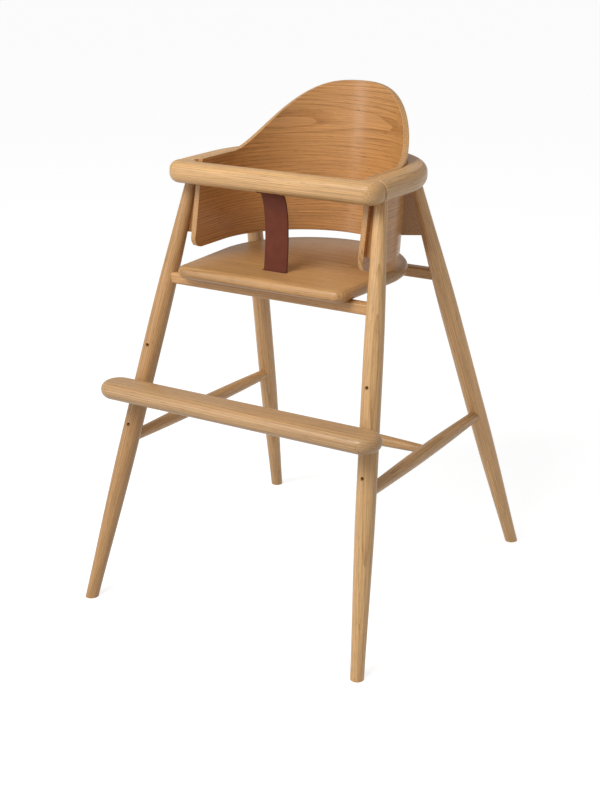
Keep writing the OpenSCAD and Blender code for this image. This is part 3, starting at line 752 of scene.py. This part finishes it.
# The metal: the footrest's zinc-plated bolts and their brass threaded inserts, the seat's
# zinc-plated screws and the strap's brass ones, all machined and satin.
def metal(name, colour, roughness):
    material = bpy.data.materials.new(name)
    material.use_nodes = True
    nodes, links = material.node_tree.nodes, material.node_tree.links
    shader = nodes["Principled BSDF"]
    shader.inputs["Metallic"].default_value = 1.0
    turning = nodes.new("ShaderNodeTexNoise")
    turning.inputs["Scale"].default_value = 900.0
    where = nodes.new("ShaderNodeTexCoord")
    links.new(where.outputs["Object"], turning.inputs["Vector"])
    tint = nodes.new("ShaderNodeValToRGB")
    tint.color_ramp.elements[0].color = (*[c * 0.85 for c in colour], 1)
    tint.color_ramp.elements[1].color = (*colour, 1)
    links.new(turning.outputs["Fac"], tint.inputs["Fac"])
    links.new(tint.outputs["Color"], shader.inputs["Base Color"])
    rough = nodes.new("ShaderNodeMapRange")
    rough.inputs["To Min"].default_value = roughness - 0.06
    rough.inputs["To Max"].default_value = roughness + 0.06
    links.new(turning.outputs["Fac"], rough.inputs["Value"])
    links.new(rough.outputs["Result"], shader.inputs["Roughness"])
    return material


zinc = metal("zinc", (0.55, 0.56, 0.58), 0.34)
brass = metal("brass", (0.78, 0.57, 0.25), 0.30)
for name in ("seat_screws", "left_footrest_bolt", "right_footrest_bolt"):
    dress(name, zinc)
for name in ("footrest_inserts", "strap_top_screws", "strap_bottom_screws"):
    dress(name, brass)

# The crotch strap: one strip of red-brown leather, screwed under the front bar, let down
# through the seat's slot and screwed under the seat. Its cut edges are burnished darker.
strap_width, strap_thick = 0.044, 0.0025
foot_z = seat_top - seat_thick - strap_thick / 2 - 0.0001


def strap_curve(t):
    points = ((-0.126, 0.7093), (-0.113, 0.706), (-0.101, 0.660), (-0.113, 0.579))
    weights = ((1 - t) ** 3, 3 * t * (1 - t) ** 2, 3 * t * t * (1 - t), t ** 3)
    return tuple(sum(w * p[i] for w, p in zip(weights, points)) for i in range(2))


# Flat under the bar, then the hanging curve, a bend of 4 mm, and flat under the seat.
strap_line = [(-0.133, 0.7093), (-0.130, 0.7093)] + [strap_curve(i / 40) for i in range(41)]
strap_bend, bend_start = 0.004, -0.1165
for i in range(10):
    a = math.pi / 2 * i / 9
    strap_line.append((bend_start + strap_bend - strap_bend * math.cos(a),
                       foot_z + strap_bend - strap_bend * math.sin(a)))
strap_line += [(-0.1, foot_z), (-0.0865, foot_z)]
strap_rings, strap_grain, run = [], [], 0.0
for i, (y, z) in enumerate(strap_line):
    before, after = strap_line[max(i - 1, 0)], strap_line[min(i + 1, len(strap_line) - 1)]
    if i:
        run += math.dist((y, z), before)
    length = math.dist(before, after)
    ny, nz = -(after[1] - before[1]) / length, (after[0] - before[0]) / length
    section = rounded_square(strap_width, strap_thick, (0.0008,) * 4, per_corner=3)
    strap_rings.append([(a, y + ny * b, z + nz * b) for a, b in section])
    strap_grain.append([(run, a, b) for a, b in section])
strap = loft("crotch_strap_leather", strap_rings, strap_grain)
leather = bpy.data.materials.new("strap_leather")
leather.use_nodes = True
nodes, links = leather.node_tree.nodes, leather.node_tree.links
shader = nodes["Principled BSDF"]
where = nodes.new("ShaderNodeAttribute")
where.attribute_name = "grain"
pebble = nodes.new("ShaderNodeTexVoronoi")
pebble.inputs["Scale"].default_value = 1100.0
links.new(where.outputs["Vector"], pebble.inputs["Vector"])
mottle = nodes.new("ShaderNodeTexNoise")
mottle.inputs["Scale"].default_value = 60.0
mottle.inputs["Detail"].default_value = 4.0
links.new(where.outputs["Vector"], mottle.inputs["Vector"])
hide = nodes.new("ShaderNodeValToRGB")
darker, lighter = hide.color_ramp.elements
darker.position, darker.color = 0.3, (0.104, 0.0225, 0.0100, 1)
lighter.position, lighter.color = 0.7, (0.132, 0.0300, 0.0135, 1)
links.new(mottle.outputs["Fac"], hide.inputs["Fac"])
parts = nodes.new("ShaderNodeSeparateXYZ")
links.new(where.outputs["Vector"], parts.inputs["Vector"])
from_middle = nodes.new("ShaderNodeMath")
from_middle.operation = "ABSOLUTE"
links.new(parts.outputs["Y"], from_middle.inputs[0])
burnish = nodes.new("ShaderNodeMapRange")
burnish.inputs["From Min"].default_value = strap_width / 2 - 0.0016
burnish.inputs["From Max"].default_value = strap_width / 2 - 0.0003
burnish.inputs["To Min"].default_value = 0.0
burnish.inputs["To Max"].default_value = 0.7
links.new(from_middle.outputs["Value"], burnish.inputs["Value"])
edge = nodes.new("ShaderNodeMix")
edge.data_type = "RGBA"
edge.inputs["B"].default_value = (0.045, 0.012, 0.008, 1)
links.new(burnish.outputs["Result"], edge.inputs["Factor"])
links.new(hide.outputs["Color"], edge.inputs["A"])
links.new(edge.outputs["Result"], shader.inputs["Base Color"])
grain_bump = nodes.new("ShaderNodeBump")
grain_bump.inputs["Strength"].default_value = 0.25
grain_bump.inputs["Distance"].default_value = 0.0003
links.new(pebble.outputs["Distance"], grain_bump.inputs["Height"])
links.new(grain_bump.outputs["Normal"], shader.inputs["Normal"])
shader.inputs["Roughness"].default_value = 0.55
shader.inputs["Specular IOR Level"].default_value = 0.18
strap.data.materials.append(leather)
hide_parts("crotch_strap")
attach(strap, "chair")
